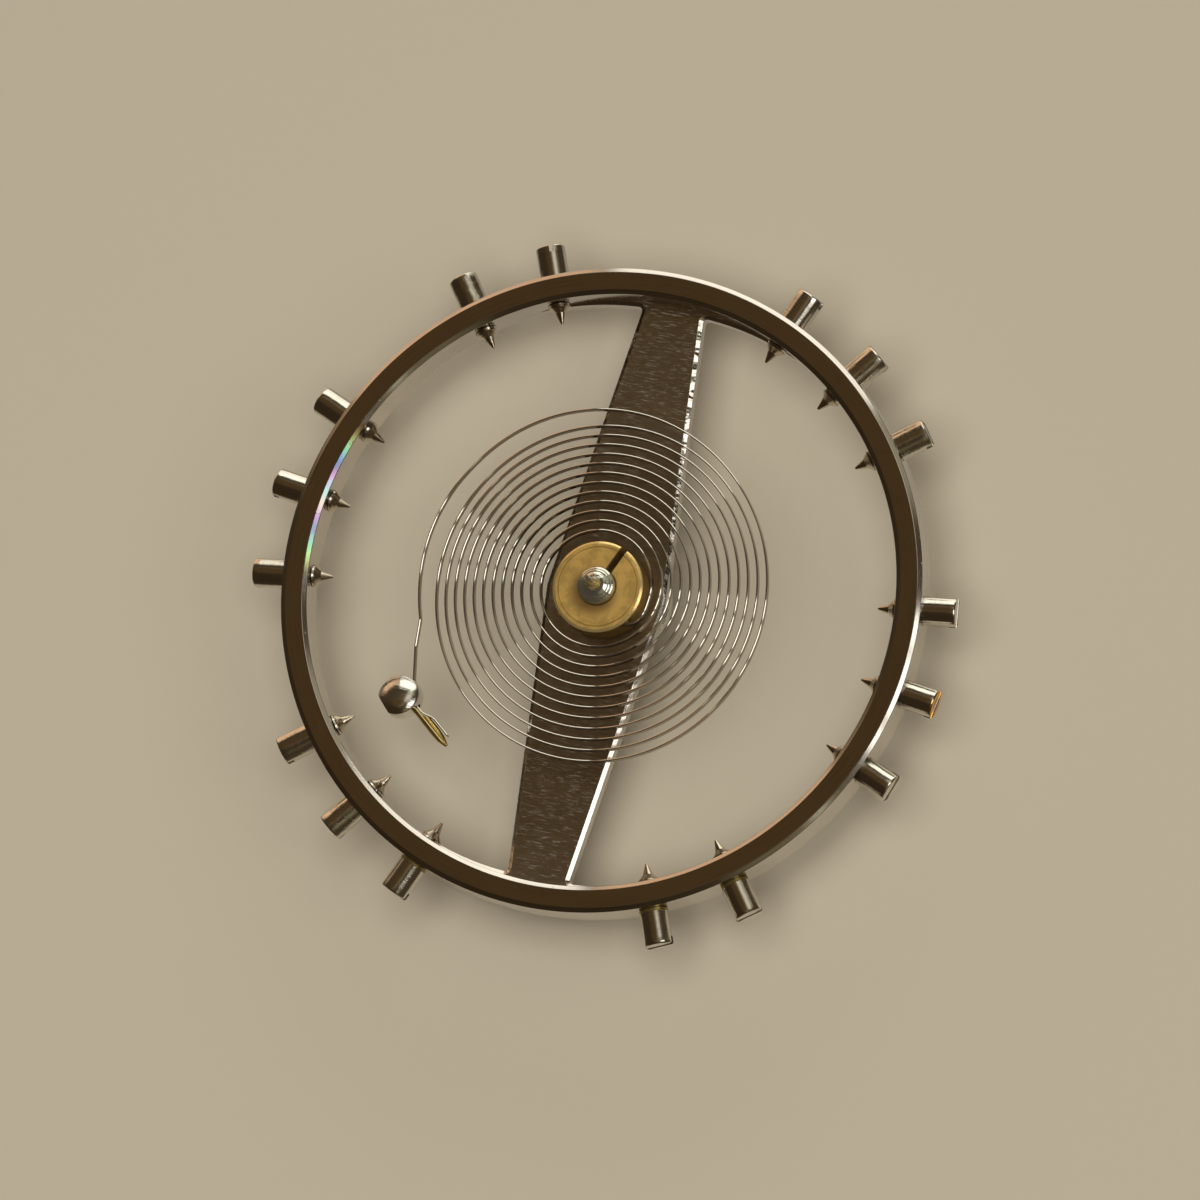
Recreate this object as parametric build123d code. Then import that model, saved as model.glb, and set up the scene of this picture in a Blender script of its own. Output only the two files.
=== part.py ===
from build123d import *
import math
import os

os.makedirs("parts", exist_ok=True)

# Balance wheel of a pocket watch, in millimetres and degrees
# The staff stands on Z with the tip of its lower pivot at the origin, and the arm lies along Y

# Room between pieces
cut_overrun = 0.5            # how far every cutting body runs past what it cuts
seat_clearance = 0.01        # radial room where one piece is pressed, threaded or pinned in another
strip_clearance = 0.01       # room between the hairspring strip and the pin beside it

# Rim and arm, cut from one blank
rim_radius = 8.50
rim_width = 0.69
rim_height = 1.13
rim_bevel_width = 0.12
rim_bevel_height = 0.07
rim_under_bevel = 0.05
rim_bottom_height = 2.05     # above the tip of the lower pivot
arm_thickness = 0.40
arm_end_half_width = 0.80
arm_waist_half_width = 1.60
arm_edge_bevel = 0.03
window_radius = 7.61
window_shift = 0.47          # leaves a crescent lip at both ends of the arm
window_corner_radius = 0.15

# Balance screws
screw_places = 24            # evenly spaced round the rim
first_place_share = 0.5      # of a step, from the X axis to the first place
screw_half_places = (0, 2, 3, 4, 7, 8, 10, 11)
washer_places = (16, 19, 20)
head_radius = 0.385
head_length = 0.87
head_bevel = 0.05
slot_width = 0.12
slot_depth = 0.20
slot_turn_angles = (4, -7, 9, -12, 105, 6, -3, 11, -8, 5, -10, 3, 8, -5, 12, -6)   # of each screw, from level
thread_radius = 0.28
screw_end_land = 0.10        # plain length that stands out of the rim's inner wall
screw_cone_radius = 0.14
screw_cone_length = 0.30
screw_tip_radius = 0.03
washer_radius = 0.37
washer_thickness = 0.10
washer_clearance = 0.02

# Balance staff, from the lower pivot up
lower_pivot_radius = 0.060
lower_pivot_length = 0.35
upper_pivot_radius = 0.055
upper_pivot_length = 0.30
pivot_end_bevel = 0.02
lower_cone_length = 0.40
lower_cone_radius = 0.20
roller_seat_radius = 0.30
hub_radius = 1.10
hub_thickness = 0.35
hub_bevel = 0.12
wheel_seat_radius = 0.62
rivet_radius = 0.74
rivet_height = 0.06
collet_seat_radius = 0.475
collet_seat_rise = 0.24      # the collet seat ends this far above the collet
staff_ring_radius = 0.40
staff_ring_height = 0.06
upper_cone_radius = 0.35
upper_cone_top_radius = 0.10
upper_neck_height = 0.14
upper_tip_rise = 1.35        # tip of the upper pivot above the top of the rim

# Collet
collet_radius = 1.20
collet_height = 0.87
collet_bevel = 0.07
collet_bore_bevel = 0.04
collet_groove_radius = 1.06
collet_groove_width = 0.03
collet_groove_depth = 0.03
collet_slot_width = 0.20
collet_slot_angle = 67.0
collet_hole_offset = 0.83    # the pin hole runs along a chord this far from the axis
collet_hole_angle = 275.0

# Pin holes and their pins
pin_hole_radius = 0.13
pin_taper = 0.02
strip_offset = 0.04          # middle of the strip beside the middle of its hole
collet_pin_end = 0.08        # how far the pin stands out of the collet at its thick end
pin_thin_end = 0.03

# Hairspring
strip_thickness = 0.045
strip_height = 0.20
strip_drop = 0.03            # middle of the strip below the top of the rim
coil_pitch = 0.2575
coil_count = 12
coil_inner_room = 0.196      # from the collet's wall to the start of the first coil
coil_centre_start = (-0.025, 0.049)
coil_centre_end = (0.020, -0.078)
coil_oval = 0.06             # the outermost coil is drawn out by this much along Y
outer_lift = 0.27            # the last turn stands this much further out
lift_start_share = 0.10      # of a turn after the last whole coil
lift_end_share = 0.385
outer_arc_end_share = 0.4167
outer_arc_step_share = 0.2   # of the outer arc, between the points it is drawn through
elbow_angle = 200.2
elbow_turn_angle = 16.2      # inwards at the elbow
elbow_radius = 0.25
knee_length = 0.70           # from the elbow to the knee, where the strip turns back outwards
knee_turn_angle = 7.0
inner_elbow_length = 0.06
tail_root_length = 0.10      # straight beyond the stud's wall
tail_swing = 0.145           # the tail passes the pin's belly this much further out
tail_swing_length = 0.50
tail_end_length = 0.50
strip_sample_angle = 5.0     # degrees between the points that the gap is measured on
turn_step_share = 1e-4       # of a turn, on both sides of a point where the strip's direction is read
straight_share = 1e-6        # a stretch that leaves its chord by less than this share of it is straight

# Stud and its pin
stud_radius = 0.545
stud_rise = 0.48             # top of the stud above the middle of the strip
stud_drop = 0.25             # foot of the stud below the middle of the strip
stud_dome_height = 0.26
stud_edge_round = 0.04
stud_foot_bevel = 0.05
stud_flat_distance = 0.45
stud_flat_angle = 225.0
stud_place = (-4.494, -3.783)
stud_hole_offset = 0.135
stud_hole_angle = -38.5
stud_slit_width = 0.15       # the strip comes in through a slit that meets the hole
stud_pin_belly_radius = 0.13
stud_pin_belly_distance = 0.82
stud_pin_shoulder_radius = 0.11
stud_pin_shoulder_distance = 1.05
stud_pin_length = 1.29       # beyond the stud's wall
stud_pin_end_radius = 0.04
stud_pin_flat_length = 0.26  # of the flat beyond the stud's wall
stud_pin_slope_length = 0.34

# Double roller
impulse_roller_radius = 1.55
impulse_roller_thickness = 0.32
roller_bevel = 0.04
safety_roller_radius = 0.85
safety_roller_thickness = 0.28
roller_collar_radius = 0.50
passing_hollow_radius = 0.25
passing_hollow_distance = 0.98
jewel_radius = 0.20
jewel_flat_distance = 0.08
jewel_distance = 1.17
jewel_reach = 0.43           # below the impulse roller
jewel_bevel = 0.03

# Heights and places worked out from the sizes above
rim_top = rim_bottom_height + rim_height
rim_inner_radius = rim_radius - rim_width
screw_axis_height = rim_bottom_height + rim_height / 2
arm_top = rim_bottom_height + arm_thickness
collet_bottom = arm_top + rivet_height
collet_top = collet_bottom + collet_height
strip_middle = rim_top - strip_drop
hub_bottom = rim_bottom_height - hub_thickness
impulse_roller_bottom = hub_bottom - impulse_roller_thickness
roller_seat_bottom = lower_pivot_length + lower_cone_length
staff_top = rim_top + upper_tip_rise
pin_radius = pin_hole_radius - seat_clearance
pin_flat = strip_offset - strip_thickness / 2 - strip_clearance


# Solid turned about Z from (radius, height) points
def turned(points):
    outline = Polyline(*[(radius, 0, height) for radius, height in points], close=True)
    return revolve(make_face(outline), Axis.Z)


# Unit vector at an angle in the XY plane
def heading(degrees):
    return Vector(math.cos(math.radians(degrees)), math.sin(math.radians(degrees)))


# Places of the balance screws round the rim, in degrees
def place_angle(place):
    return (place + first_place_share) * 360 / screw_places


# Turns a solid from standing on Z to lying along the direction at a point
def laid(solid, point, direction):
    return Plane(origin=point, x_dir=(0, 0, 1), z_dir=direction) * solid


# One D-shaped window beside the arm, as a flat face
def window_face(side, arm):
    circle = Pos(side * window_shift, 0) * Circle(window_radius)
    half = Pos(side * rim_radius, 0) * Rectangle(2 * rim_radius, 2 * rim_radius)
    face = (circle & half) - arm
    return fillet(face.vertices(), window_corner_radius)


# Rim and arm in one piece
def balance_wheel():
    ring = turned([
        (rim_inner_radius, rim_bottom_height + rim_under_bevel),
        (rim_inner_radius + rim_under_bevel, rim_bottom_height),
        (rim_radius - rim_under_bevel, rim_bottom_height),
        (rim_radius, rim_bottom_height + rim_under_bevel),
        (rim_radius, rim_top - rim_bevel_height),
        (rim_radius - rim_bevel_width, rim_top),
        (rim_inner_radius + rim_bevel_width, rim_top),
        (rim_inner_radius, rim_top - rim_bevel_height),
    ])
    arm = make_face(Polyline(
        (arm_end_half_width, rim_inner_radius), (arm_end_half_width, rim_radius),
        (-arm_end_half_width, rim_radius), (-arm_end_half_width, rim_inner_radius),
        (-arm_waist_half_width, 0), (-arm_end_half_width, -rim_inner_radius),
        (-arm_end_half_width, -rim_radius), (arm_end_half_width, -rim_radius),
        (arm_end_half_width, -rim_inner_radius), (arm_waist_half_width, 0), close=True))
    plate_radius = rim_radius - rim_width / 2
    plate = Pos(0, 0, rim_bottom_height) * extrude(Circle(plate_radius), arm_thickness)
    for side in (-1, 1):
        face = window_face(side, arm)
        plate -= Pos(0, 0, rim_bottom_height - cut_overrun) * extrude(face, arm_thickness + 2 * cut_overrun)
        bevel = extrude(face, 2 * arm_edge_bevel, taper=-45)
        plate -= Pos(0, 0, arm_top - arm_edge_bevel) * bevel
    wheel = plate + ring
    seat = extrude(Circle(wheel_seat_radius + seat_clearance), arm_thickness + 2 * cut_overrun)
    wheel -= Pos(0, 0, rim_bottom_height - cut_overrun) * seat
    hole = extrude(Circle(thread_radius + seat_clearance), rim_width + 2 * cut_overrun)
    for place in screw_angles():
        direction = heading(place_angle(place))
        start = direction * (rim_inner_radius - cut_overrun) + Vector(0, 0, screw_axis_height)
        wheel -= laid(hole, start, direction)
    return wheel


# Places that carry a screw, the same on both halves of the rim
def screw_angles():
    half_turn = screw_places // 2
    return screw_half_places + tuple(place + half_turn for place in screw_half_places)


# One balance screw, with its slot turned to its own angle
def balance_screw(place, turn):
    seat = rim_radius + (washer_thickness if place in washer_places else 0)
    end = seat + head_length
    land = rim_inner_radius - screw_end_land
    cone = land - (thread_radius - screw_cone_radius)
    tip = cone - screw_cone_length
    screw = turned([
        (0, tip), (screw_tip_radius, tip), (screw_cone_radius, cone), (thread_radius, land),
        (thread_radius, seat), (head_radius, seat), (head_radius, end - head_bevel),
        (head_radius - head_bevel, end), (0, end),
    ])
    slot = Pos(0, 0, end) * Box(slot_width, 2 * (head_radius + cut_overrun), 2 * slot_depth)
    screw -= Rot(0, 0, turn) * slot
    return laid(screw, (0, 0, screw_axis_height), heading(place_angle(place)))


# Brass washer under the head of a balance screw
def timing_washer(place):
    bore = thread_radius + washer_clearance
    washer = turned([
        (bore, rim_radius), (washer_radius, rim_radius),
        (washer_radius, rim_radius + washer_thickness), (bore, rim_radius + washer_thickness),
    ])
    return laid(washer, (0, 0, screw_axis_height), heading(place_angle(place)))


# Staff with its pivots, hub, seats and cones, turned from one bar
def balance_staff():
    seat_end = collet_top + collet_seat_rise
    ring_end = seat_end + staff_ring_height
    neck = staff_top - upper_pivot_length
    return turned([
        (0, 0), (lower_pivot_radius - pivot_end_bevel, 0), (lower_pivot_radius, pivot_end_bevel),
        (lower_pivot_radius, lower_pivot_length), (lower_cone_radius, roller_seat_bottom),
        (roller_seat_radius, roller_seat_bottom), (roller_seat_radius, hub_bottom),
        (hub_radius - hub_bevel, hub_bottom), (hub_radius, hub_bottom + hub_bevel),
        (hub_radius, rim_bottom_height), (wheel_seat_radius, rim_bottom_height),
        (wheel_seat_radius, arm_top), (rivet_radius, arm_top), (wheel_seat_radius, collet_bottom),
        (collet_seat_radius, collet_bottom), (collet_seat_radius, seat_end),
        (staff_ring_radius, seat_end), (staff_ring_radius, ring_end), (upper_cone_radius, ring_end),
        (upper_cone_top_radius, neck - upper_neck_height), (upper_pivot_radius, neck),
        (upper_pivot_radius, staff_top - pivot_end_bevel),
        (upper_pivot_radius - pivot_end_bevel, staff_top), (0, staff_top),
    ])


# Direction of the collet's pin hole, and the outward direction across it
def collet_hole_directions():
    return heading(collet_hole_angle + 90), heading(collet_hole_angle)


# Half the length of a chord at a distance from the middle of a circle
def half_chord(radius, distance):
    return math.sqrt(radius ** 2 - distance ** 2)


# Split collet that holds the inner end of the hairspring
def hairspring_collet():
    bore = collet_seat_radius + seat_clearance
    groove_floor = collet_top - collet_groove_depth
    collet = turned([
        (bore, collet_bottom), (collet_radius, collet_bottom), (collet_radius, collet_top - collet_bevel),
        (collet_radius - collet_bevel, collet_top), (collet_groove_radius, collet_top),
        (collet_groove_radius, groove_floor), (collet_groove_radius - collet_groove_width, groove_floor),
        (collet_groove_radius - collet_groove_width, collet_top),
        (bore + collet_bore_bevel, collet_top), (bore, collet_top - collet_bore_bevel),
    ])
    slot = Box(collet_radius + cut_overrun, collet_slot_width, collet_height + 2 * cut_overrun,
               align=(Align.MIN, Align.CENTER, Align.MIN))
    collet -= Rot(0, 0, collet_slot_angle) * Pos(0, 0, collet_bottom - cut_overrun) * slot
    along, across = collet_hole_directions()
    reach = collet_radius + cut_overrun
    start = across * collet_hole_offset - along * reach + Vector(0, 0, strip_middle)
    return collet - laid(extrude(Circle(pin_hole_radius), 2 * reach), start, along)


# Cuts a lying pin flat where the strip passes, up to a place from which the flat slopes away
def flattened(pin, point, along, across, end, slope):
    reach = 2 * collet_radius
    top = pin_flat + 2 * pin_radius
    outline = Polyline((-reach, pin_flat), (end, pin_flat), (end + slope, top), (-reach, top), close=True)
    plane = Plane(origin=point, x_dir=along, z_dir=along.cross(across))
    return pin - plane * extrude(make_face(outline), cut_overrun, both=True)


# Taper pin that holds the strip in the collet
def collet_pin():
    along, across = collet_hole_directions()
    middle = across * collet_hole_offset + Vector(0, 0, strip_middle)
    half = half_chord(collet_radius, collet_hole_offset)
    pin = turned([
        (0, -half - pin_thin_end), (pin_radius - pin_taper, -half - pin_thin_end),
        (pin_radius, half + collet_pin_end), (0, half + collet_pin_end),
    ])
    return flattened(laid(pin, middle, -along), middle, along, across, half + cut_overrun, cut_overrun)


# Direction of the stud's pin hole, and the direction across it towards the staff
def stud_hole_directions():
    return heading(stud_hole_angle), heading(stud_hole_angle + 90)


# Stud that carries the outer end of the hairspring, with a domed top, a flat side and a hole for the pin
def hairspring_stud():
    top = strip_middle + stud_rise
    foot = strip_middle - stud_drop
    stud = turned([
        (0, foot), (stud_radius - stud_foot_bevel, foot), (stud_radius, foot + stud_foot_bevel),
        (stud_radius, top), (0, top),
    ])
    dome_radius = (stud_radius ** 2 + stud_dome_height ** 2) / (2 * stud_dome_height)
    stud &= Pos(0, 0, top - dome_radius) * Sphere(dome_radius)
    rims = stud.edges().filter_by(lambda edge: edge.is_closed)
    stud = fillet(rims.sort_by(Axis.Z)[-1], stud_edge_round)
    flat = Box(stud_radius, 2 * (stud_radius + cut_overrun), stud_rise + stud_drop + 2 * cut_overrun,
               align=(Align.MIN, Align.CENTER, Align.MIN))
    stud -= Rot(0, 0, stud_flat_angle) * Pos(stud_flat_distance, 0, foot - cut_overrun) * flat
    stud = Pos(*stud_place) * stud
    along, across = stud_hole_directions()
    reach = stud_radius + cut_overrun
    start = Vector(*stud_place) + across * stud_hole_offset - along * reach + Vector(0, 0, strip_middle)
    stud -= laid(extrude(Circle(pin_hole_radius), 2 * reach), start, along)
    slit = Box(reach, stud_slit_width, 2 * pin_hole_radius, align=(Align.MIN, Align.CENTER, Align.CENTER))
    elbow, end, (knee, run), (bend, along) = outer_run()
    return stud - Plane(origin=bend + Vector(0, 0, strip_middle), x_dir=-run, z_dir=(0, 0, 1)) * slit


# Brass pin that wedges the strip in the stud, left long at its thick end
def stud_pin():
    along, across = stud_hole_directions()
    middle = Vector(*stud_place) + across * stud_hole_offset + Vector(0, 0, strip_middle)
    half = half_chord(stud_radius, stud_hole_offset)
    pin = turned([
        (0, -half - pin_thin_end), (pin_radius - pin_taper, -half - pin_thin_end),
        (pin_radius, half), (stud_pin_belly_radius, half + stud_pin_belly_distance),
        (stud_pin_shoulder_radius, half + stud_pin_shoulder_distance),
        (stud_pin_end_radius, half + stud_pin_length), (0, half + stud_pin_length),
    ])
    pin = laid(pin, middle, along)
    return flattened(pin, middle, along, across, half + stud_pin_flat_length, stud_pin_slope_length)


# Radius of the coiled strip from the staff, after a number of turns
def coil_radius(turns):
    angle = 2 * math.pi * turns
    grown = (min(turns, coil_count) / coil_count) ** 2
    shift_x = coil_centre_start[0] + (coil_centre_end[0] - coil_centre_start[0]) * grown
    shift_y = coil_centre_start[1] + (coil_centre_end[1] - coil_centre_start[1]) * grown
    radius = collet_radius + coil_inner_room + coil_pitch * turns
    radius += shift_x * math.cos(angle) + shift_y * math.sin(angle)
    radius -= coil_oval * grown * math.cos(2 * angle)
    lift = (turns - coil_count - lift_start_share) / (lift_end_share - lift_start_share)
    lift = min(max(lift, 0), 1)
    return radius + outer_lift * lift ** 2 * (3 - 2 * lift)


# Point and direction of the coiled strip after a number of turns
def coil_point(turns):
    before, here, after = [
        heading(360 * (turns + shift)) * coil_radius(turns + shift)
        for shift in (-turn_step_share, 0, turn_step_share)
    ]
    return here, (after - before).normalized()


# Quarter turn to the left of a direction
def left_of(direction):
    return Vector(-direction.Y, direction.X)


# One stretch of the strip's middle line: both ends, and the middle of its circle if it is bent
def stretch(start, direction, end):
    chord = end - start
    side = left_of(direction).dot(chord)
    if abs(side) < straight_share * chord.length:
        return start, end, None, direction
    radius = chord.dot(chord) / (2 * side)
    return start, end, start + left_of(direction) * radius, direction


# Two tangent arcs that join two points, each with its own direction
def biarc(start, direction, end, end_direction):
    chord = end - start
    turned_away = 1 - direction.dot(end_direction)
    both = chord.dot(direction + end_direction)
    if turned_away < straight_share ** 2:
        reach = chord.dot(chord) / (2 * both)
    else:
        root = math.sqrt(both ** 2 + 2 * turned_away * chord.dot(chord))
        reach = (root - both) / (2 * turned_away)
    joint = (start + end + (direction - end_direction) * reach) / 2
    first = stretch(start, direction, joint)
    across = joint - start
    middle_direction = (across * (2 * across.dot(direction) / across.dot(across)) - direction).normalized()
    return [first, stretch(joint, middle_direction, end)]


# Point where a line meets another, both given by a point and a direction
def crossing(point, direction, other, other_direction):
    across = left_of(other_direction)
    return point + direction * ((other - point).dot(across) / direction.dot(across))


# Length from a corner to either end of the arc that rounds it
def corner_length(direction, end_direction, radius):
    return radius * math.tan(math.radians(direction.get_angle(end_direction)) / 2)


# Elbow, end of the elbow, knee, and bend in the stud, each with the direction of the strip that follows
def outer_run():
    elbow = heading(elbow_angle) * coil_radius(coil_count + outer_arc_end_share)
    before = heading(elbow_angle + 90)
    after = heading(elbow_angle + 90 - elbow_turn_angle)
    run = heading(elbow_angle + 90 - elbow_turn_angle + knee_turn_angle)
    end = elbow + (before + after) * corner_length(before, after, elbow_radius)
    knee = end + after * knee_length
    along, across = stud_hole_directions()
    beside = Vector(*stud_place) + across * (stud_hole_offset + strip_offset)
    return (elbow, before), (end, after), (knee, run), (crossing(knee, run, beside, along), along)


# Whole middle line of the strip, from the collet's hole to the tail beyond the stud
def strip_route():
    along, across = collet_hole_directions()
    chord = collet_hole_offset + strip_offset
    start = across * chord - along * half_chord(collet_radius, chord)
    out = across * chord + along * (half_chord(collet_radius, chord) + inner_elbow_length)
    point, direction = coil_point(0)
    route = [stretch(start, along, out)] + biarc(out, along, point, direction)
    steps = round(1 / outer_arc_step_share)
    outer_turns = [coil_count + outer_arc_end_share * step / steps for step in range(1, steps + 1)]
    for turns in [quarter / 4 for quarter in range(1, 4 * coil_count + 1)] + outer_turns:
        following, next_direction = coil_point(turns)
        route += biarc(point, direction, following, next_direction)
        point, direction = following, next_direction
    (elbow, before), (end, after), *corners = outer_run()
    route += biarc(point, direction, elbow, before)
    route.append(stretch(elbow, before, end))
    point, direction = end, after
    for corner, following in corners:
        room = corner_length(direction, following, elbow_radius)
        route.append(stretch(point, direction, corner - direction * room))
        route.append(stretch(corner - direction * room, direction, corner + following * room))
        point, direction = corner + following * room, following
    along, across = stud_hole_directions()
    beside = Vector(*stud_place) + across * (stud_hole_offset + strip_offset)
    root = beside + along * (half_chord(stud_radius, stud_hole_offset) + tail_root_length)
    swung = root + along * tail_swing_length + across * tail_swing
    route.append(stretch(point, direction, root))
    route += biarc(root, along, swung, along)
    route.append(stretch(swung, along, swung + along * tail_end_length))
    return route


# Direction to the left of a stretch at one of its points
def side_at(piece, point):
    start, end, middle, direction = piece
    if middle is None:
        return left_of(direction)
    side = (middle - point).normalized()
    if left_of(direction).dot(middle - start) < 0:
        side = -side
    return side


# Point half way along a stretch
def middle_of(piece):
    start, end, middle, direction = piece
    if middle is None:
        return (start + end) / 2
    radius = (middle - start).length
    return middle + ((start + end) / 2 - middle).normalized() * radius


# Edge of a stretch moved sideways
def moved_edge(piece, shift):
    start, end, middle, direction = piece
    points = [start, middle_of(piece), end]
    moved = [point + side_at(piece, point) * shift for point in points]
    if middle is None:
        return Line(moved[0], moved[2])
    return ThreePointArc(*moved)


# Least room between neighbouring turns, measured on points of the middle line
def least_gap():
    steps = round(360 / strip_sample_angle)
    last = coil_count + outer_arc_end_share
    points = [coil_point(index / steps)[0] for index in range(int(last * steps) + 1)]
    gaps = []
    for index, point in enumerate(points):
        for other in points[index + steps // 2:index + 2 * steps]:
            gaps.append((other - point).length)
    return min(gaps) - strip_thickness


# Flat hairspring, one unbroken strip
def hairspring():
    route = strip_route()
    half = strip_thickness / 2
    left = [moved_edge(piece, half) for piece in route]
    right = [moved_edge(piece, -half) for piece in route]
    ends = [Line(left[0] @ 0, right[0] @ 0), Line(left[-1] @ 1, right[-1] @ 1)]
    face = make_face(Wire(left + right + ends))
    strip = extrude(face, strip_height, dir=(0, 0, 1))
    print("hairspring: least gap between turns", round(least_gap(), 3), "mm")
    return Pos(0, 0, strip_middle - strip_height / 2) * strip


# Roller that carries the impulse jewel, pressed on below the hub
def impulse_roller():
    bore = roller_seat_radius + seat_clearance
    roller = turned([
        (bore, impulse_roller_bottom), (impulse_roller_radius - roller_bevel, impulse_roller_bottom),
        (impulse_roller_radius, impulse_roller_bottom + roller_bevel),
        (impulse_roller_radius, hub_bottom - roller_bevel),
        (impulse_roller_radius - roller_bevel, hub_bottom), (bore, hub_bottom),
    ])
    hole = extrude(jewel_face(seat_clearance), impulse_roller_thickness + 2 * cut_overrun)
    return roller - Pos(0, 0, impulse_roller_bottom - cut_overrun) * hole


# D-shaped section of the impulse jewel, widened by a clearance
def jewel_face(room):
    circle = Pos(jewel_distance, 0) * Circle(jewel_radius + room)
    flat = jewel_distance + jewel_flat_distance + room
    reach = jewel_radius + cut_overrun
    return circle - Pos(flat, 0) * Rectangle(reach, 2 * reach, align=(Align.MIN, Align.CENTER))


# Ruby jewel that takes the impulse
def impulse_jewel():
    jewel = extrude(jewel_face(0), impulse_roller_thickness + jewel_reach)
    jewel = chamfer(jewel.faces().sort_by(Axis.Z)[0].edges(), jewel_bevel)
    return Pos(0, 0, impulse_roller_bottom - jewel_reach) * jewel


# Safety roller with its passing hollow and the collar above it
def safety_roller():
    bore = roller_seat_radius + seat_clearance
    top = roller_seat_bottom + safety_roller_thickness
    roller = turned([
        (bore, roller_seat_bottom), (safety_roller_radius - roller_bevel, roller_seat_bottom),
        (safety_roller_radius, roller_seat_bottom + roller_bevel), (safety_roller_radius, top - roller_bevel),
        (safety_roller_radius - roller_bevel, top), (roller_collar_radius, top),
        (roller_collar_radius, impulse_roller_bottom), (bore, impulse_roller_bottom),
    ])
    hollow = extrude(Circle(passing_hollow_radius), safety_roller_thickness + 2 * cut_overrun)
    return roller - Pos(passing_hollow_distance, 0, roller_seat_bottom - cut_overrun) * hollow


pieces = {
    "balance_wheel": balance_wheel(),
    "balance_staff": balance_staff(),
    "hairspring_collet": hairspring_collet(),
    "collet_pin": collet_pin(),
    "hairspring": hairspring(),
    "hairspring_stud": hairspring_stud(),
    "stud_pin": stud_pin(),
    "impulse_roller": impulse_roller(),
    "impulse_jewel": impulse_jewel(),
    "safety_roller": safety_roller(),
}
for index, (place, turn) in enumerate(zip(screw_angles(), slot_turn_angles), start=1):
    pieces[f"balance_screw_{index:02d}"] = balance_screw(place, turn)
for index, place in enumerate(washer_places, start=1):
    pieces[f"timing_washer_{index}"] = timing_washer(place)

for name, shape in pieces.items():
    export_step(shape, f"parts/{name}.step")
    print(name, len(shape.solids()), "solid", round(shape.volume, 4), "mm3")
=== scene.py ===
import bmesh
import bpy
import math
from mathutils import Matrix, Vector
from mathutils.geometry import interpolate_bezier
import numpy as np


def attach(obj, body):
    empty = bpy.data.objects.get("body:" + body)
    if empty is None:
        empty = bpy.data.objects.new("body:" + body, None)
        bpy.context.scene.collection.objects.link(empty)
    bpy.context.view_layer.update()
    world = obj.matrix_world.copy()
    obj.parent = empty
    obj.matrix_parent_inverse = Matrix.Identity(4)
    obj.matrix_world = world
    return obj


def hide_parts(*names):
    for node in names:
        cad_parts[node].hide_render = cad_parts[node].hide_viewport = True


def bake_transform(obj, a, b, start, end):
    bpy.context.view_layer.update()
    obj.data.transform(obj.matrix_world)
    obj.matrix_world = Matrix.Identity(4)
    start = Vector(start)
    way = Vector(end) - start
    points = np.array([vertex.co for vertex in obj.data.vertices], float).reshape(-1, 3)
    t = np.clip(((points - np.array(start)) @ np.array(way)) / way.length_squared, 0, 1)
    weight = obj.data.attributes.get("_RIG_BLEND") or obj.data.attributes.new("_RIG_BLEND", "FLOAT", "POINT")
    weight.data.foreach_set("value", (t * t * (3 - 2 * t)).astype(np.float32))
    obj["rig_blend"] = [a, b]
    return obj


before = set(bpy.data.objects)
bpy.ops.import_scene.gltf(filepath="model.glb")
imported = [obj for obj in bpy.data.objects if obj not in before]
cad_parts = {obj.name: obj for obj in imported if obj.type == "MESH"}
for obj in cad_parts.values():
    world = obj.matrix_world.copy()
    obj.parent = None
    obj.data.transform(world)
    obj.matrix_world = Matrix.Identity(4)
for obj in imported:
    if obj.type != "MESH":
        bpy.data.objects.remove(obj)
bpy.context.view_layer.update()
mm = 0.001                                      # sizes below are in millimetres, angles in degrees
print("frame loaded")


# Shader maths: a Wire is a node's output, and sums on it add Math nodes
class Wire:
    def __init__(self, finish, socket):
        self.finish, self.socket = finish, socket

    def sum(self, operation, *values):
        return self.finish.node("Math", {"operation": operation}, dict(enumerate(values)))

    def __add__(self, other): return self.sum("ADD", self, other)
    def __radd__(self, other): return self.sum("ADD", other, self)
    def __sub__(self, other): return self.sum("SUBTRACT", self, other)
    def __rsub__(self, other): return self.sum("SUBTRACT", other, self)
    def __mul__(self, other): return self.sum("MULTIPLY", self, other)
    def __rmul__(self, other): return self.sum("MULTIPLY", other, self)
    def __truediv__(self, other): return self.sum("DIVIDE", self, other)
    def __rtruediv__(self, other): return self.sum("DIVIDE", other, self)
    def __pow__(self, other): return self.sum("POWER", self, other)
    def __neg__(self): return self.sum("MULTIPLY", self, -1)
    def __abs__(self): return self.sum("ABSOLUTE", self)


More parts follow.
